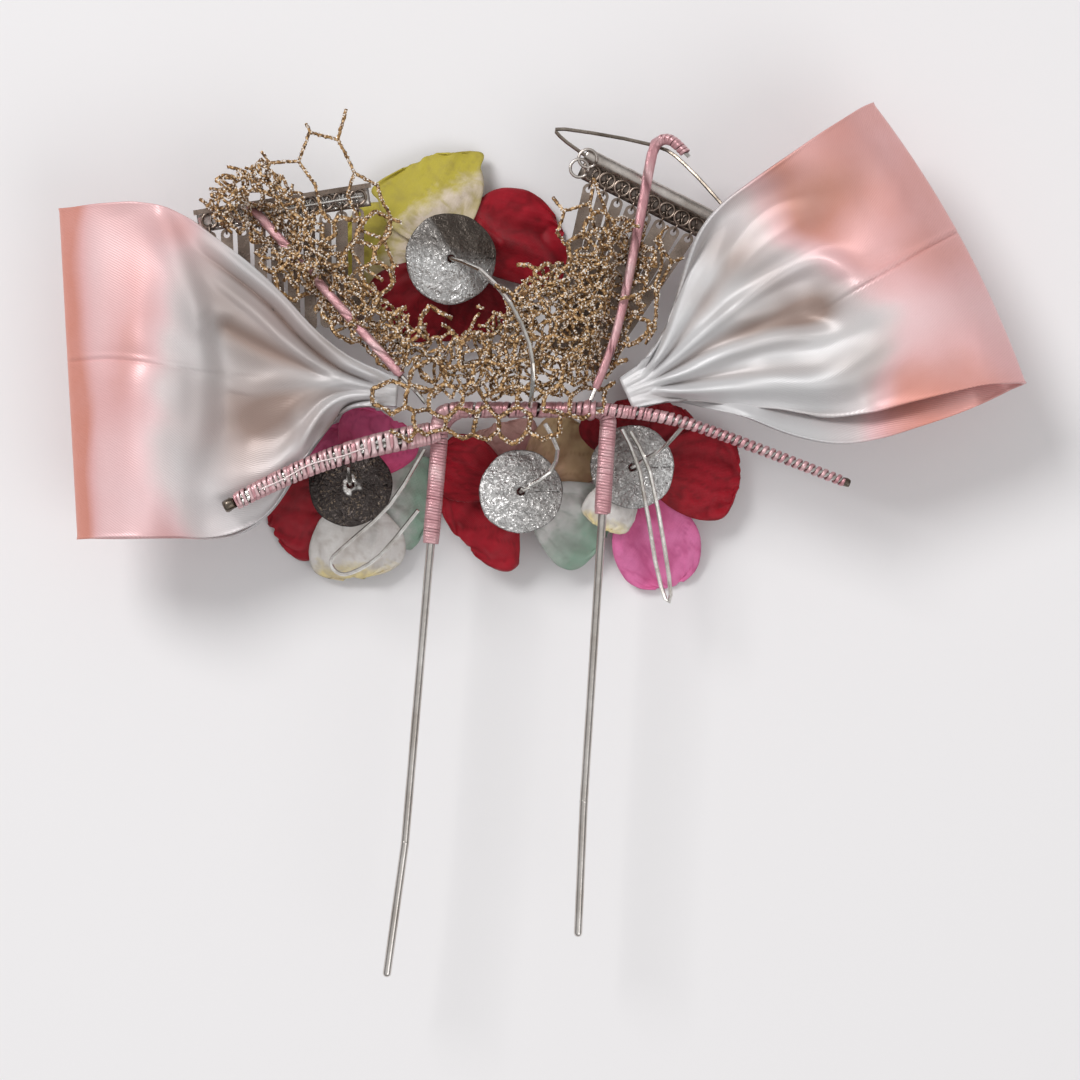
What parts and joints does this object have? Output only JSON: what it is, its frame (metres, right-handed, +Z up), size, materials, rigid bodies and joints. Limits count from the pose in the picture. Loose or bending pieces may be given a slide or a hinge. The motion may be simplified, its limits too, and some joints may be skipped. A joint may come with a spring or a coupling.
{
  "type": "kanzashi hairpin",
  "caption": "Ornamental kanzashi hairpin with long steel prongs, satin bow loops, silk flowers, a gold glitter net and fans of silver streamers, lying hair side up.",
  "frame": {"origin": "centre of the bounding box's base, on the surface that the hairpin lies on with its flowers down", "axes": "+X to the right along the bow's span, +Y away from the prong tips, +Z up towards the side that faces the hair"},
  "size_m": [0.1843, 0.1662, 0.034],
  "materials": {
    "prong_steel": "dull aged steel wire",
    "pink_thread": "glossy silk thread, wound",
    "silver_wire": "bright silvered wire",
    "satin": "satin, dyed from white to salmon pink",
    "glitter_net": "coarse net coated with gold glitter",
    "streamer_metal": "thin shiny metal strip",
    "foil": "crinkled silver foil",
    "flower_heart": "matt",
    "petal_red": "dyed silk",
    "petal_dark_red": "dyed silk",
    "petal_yellow": "dyed silk, fading to white",
    "petal_pink": "dyed silk",
    "petal_mauve": "dyed silk, frayed",
    "petal_white": "dyed silk, white with a green and yellow tip"
  },
  "bodies": {
    "root": {"hairpin": "prong_steel", "left_prong_wrap": "pink_thread", "right_prong_wrap": "pink_thread", "bar_wrap": "pink_thread", "left_arm_wires": "silver_wire", "left_arm_wrap": "pink_thread", "right_arm_wire": "silver_wire", "right_arm_wrap": "pink_thread", "left_bow_loop": "satin", "right_bow_loop": "satin", "net": "glitter_net", "left_support_wire": "silver_wire", "left_support_wrap": "pink_thread", "right_support_wire": "silver_wire", "right_support_wrap": "pink_thread", "bail_wire": "silver_wire", "left_fan_bar": "streamer_metal", "left_streamers": "streamer_metal", "right_fan_bar": "streamer_metal", "right_streamers": "streamer_metal", "left_wire_loop": "silver_wire", "right_wire_loop": "silver_wire", "top_disc": "foil", "left_disc": "foil", "centre_disc": "foil", "right_disc": "foil", "top_stem": "silver_wire", "left_stem": "silver_wire", "centre_stem": "silver_wire", "right_stem": "silver_wire", "top_heart": "flower_heart", "left_heart": "flower_heart", "centre_heart": "flower_heart", "right_heart": "flower_heart", "top_petal_1": "petal_yellow", "top_petal_2": "petal_yellow", "top_petal_3": "petal_red", "top_petal_4": "petal_dark_red", "top_petal_5": "petal_dark_red", "left_petal_1": "petal_red", "left_petal_2": "petal_white", "left_petal_3": "petal_white", "left_petal_4": "petal_pink", "left_petal_5": "petal_pink", "centre_petal_1": "petal_red", "centre_petal_2": "petal_red", "centre_petal_3": "petal_white", "centre_petal_4": "petal_yellow", "centre_petal_5": "petal_mauve", "right_petal_1": "petal_red", "right_petal_2": "petal_dark_red", "right_petal_3": "petal_dark_red", "right_petal_4": "petal_white", "right_petal_5": "petal_pink"}
  },
  "joints": []
}
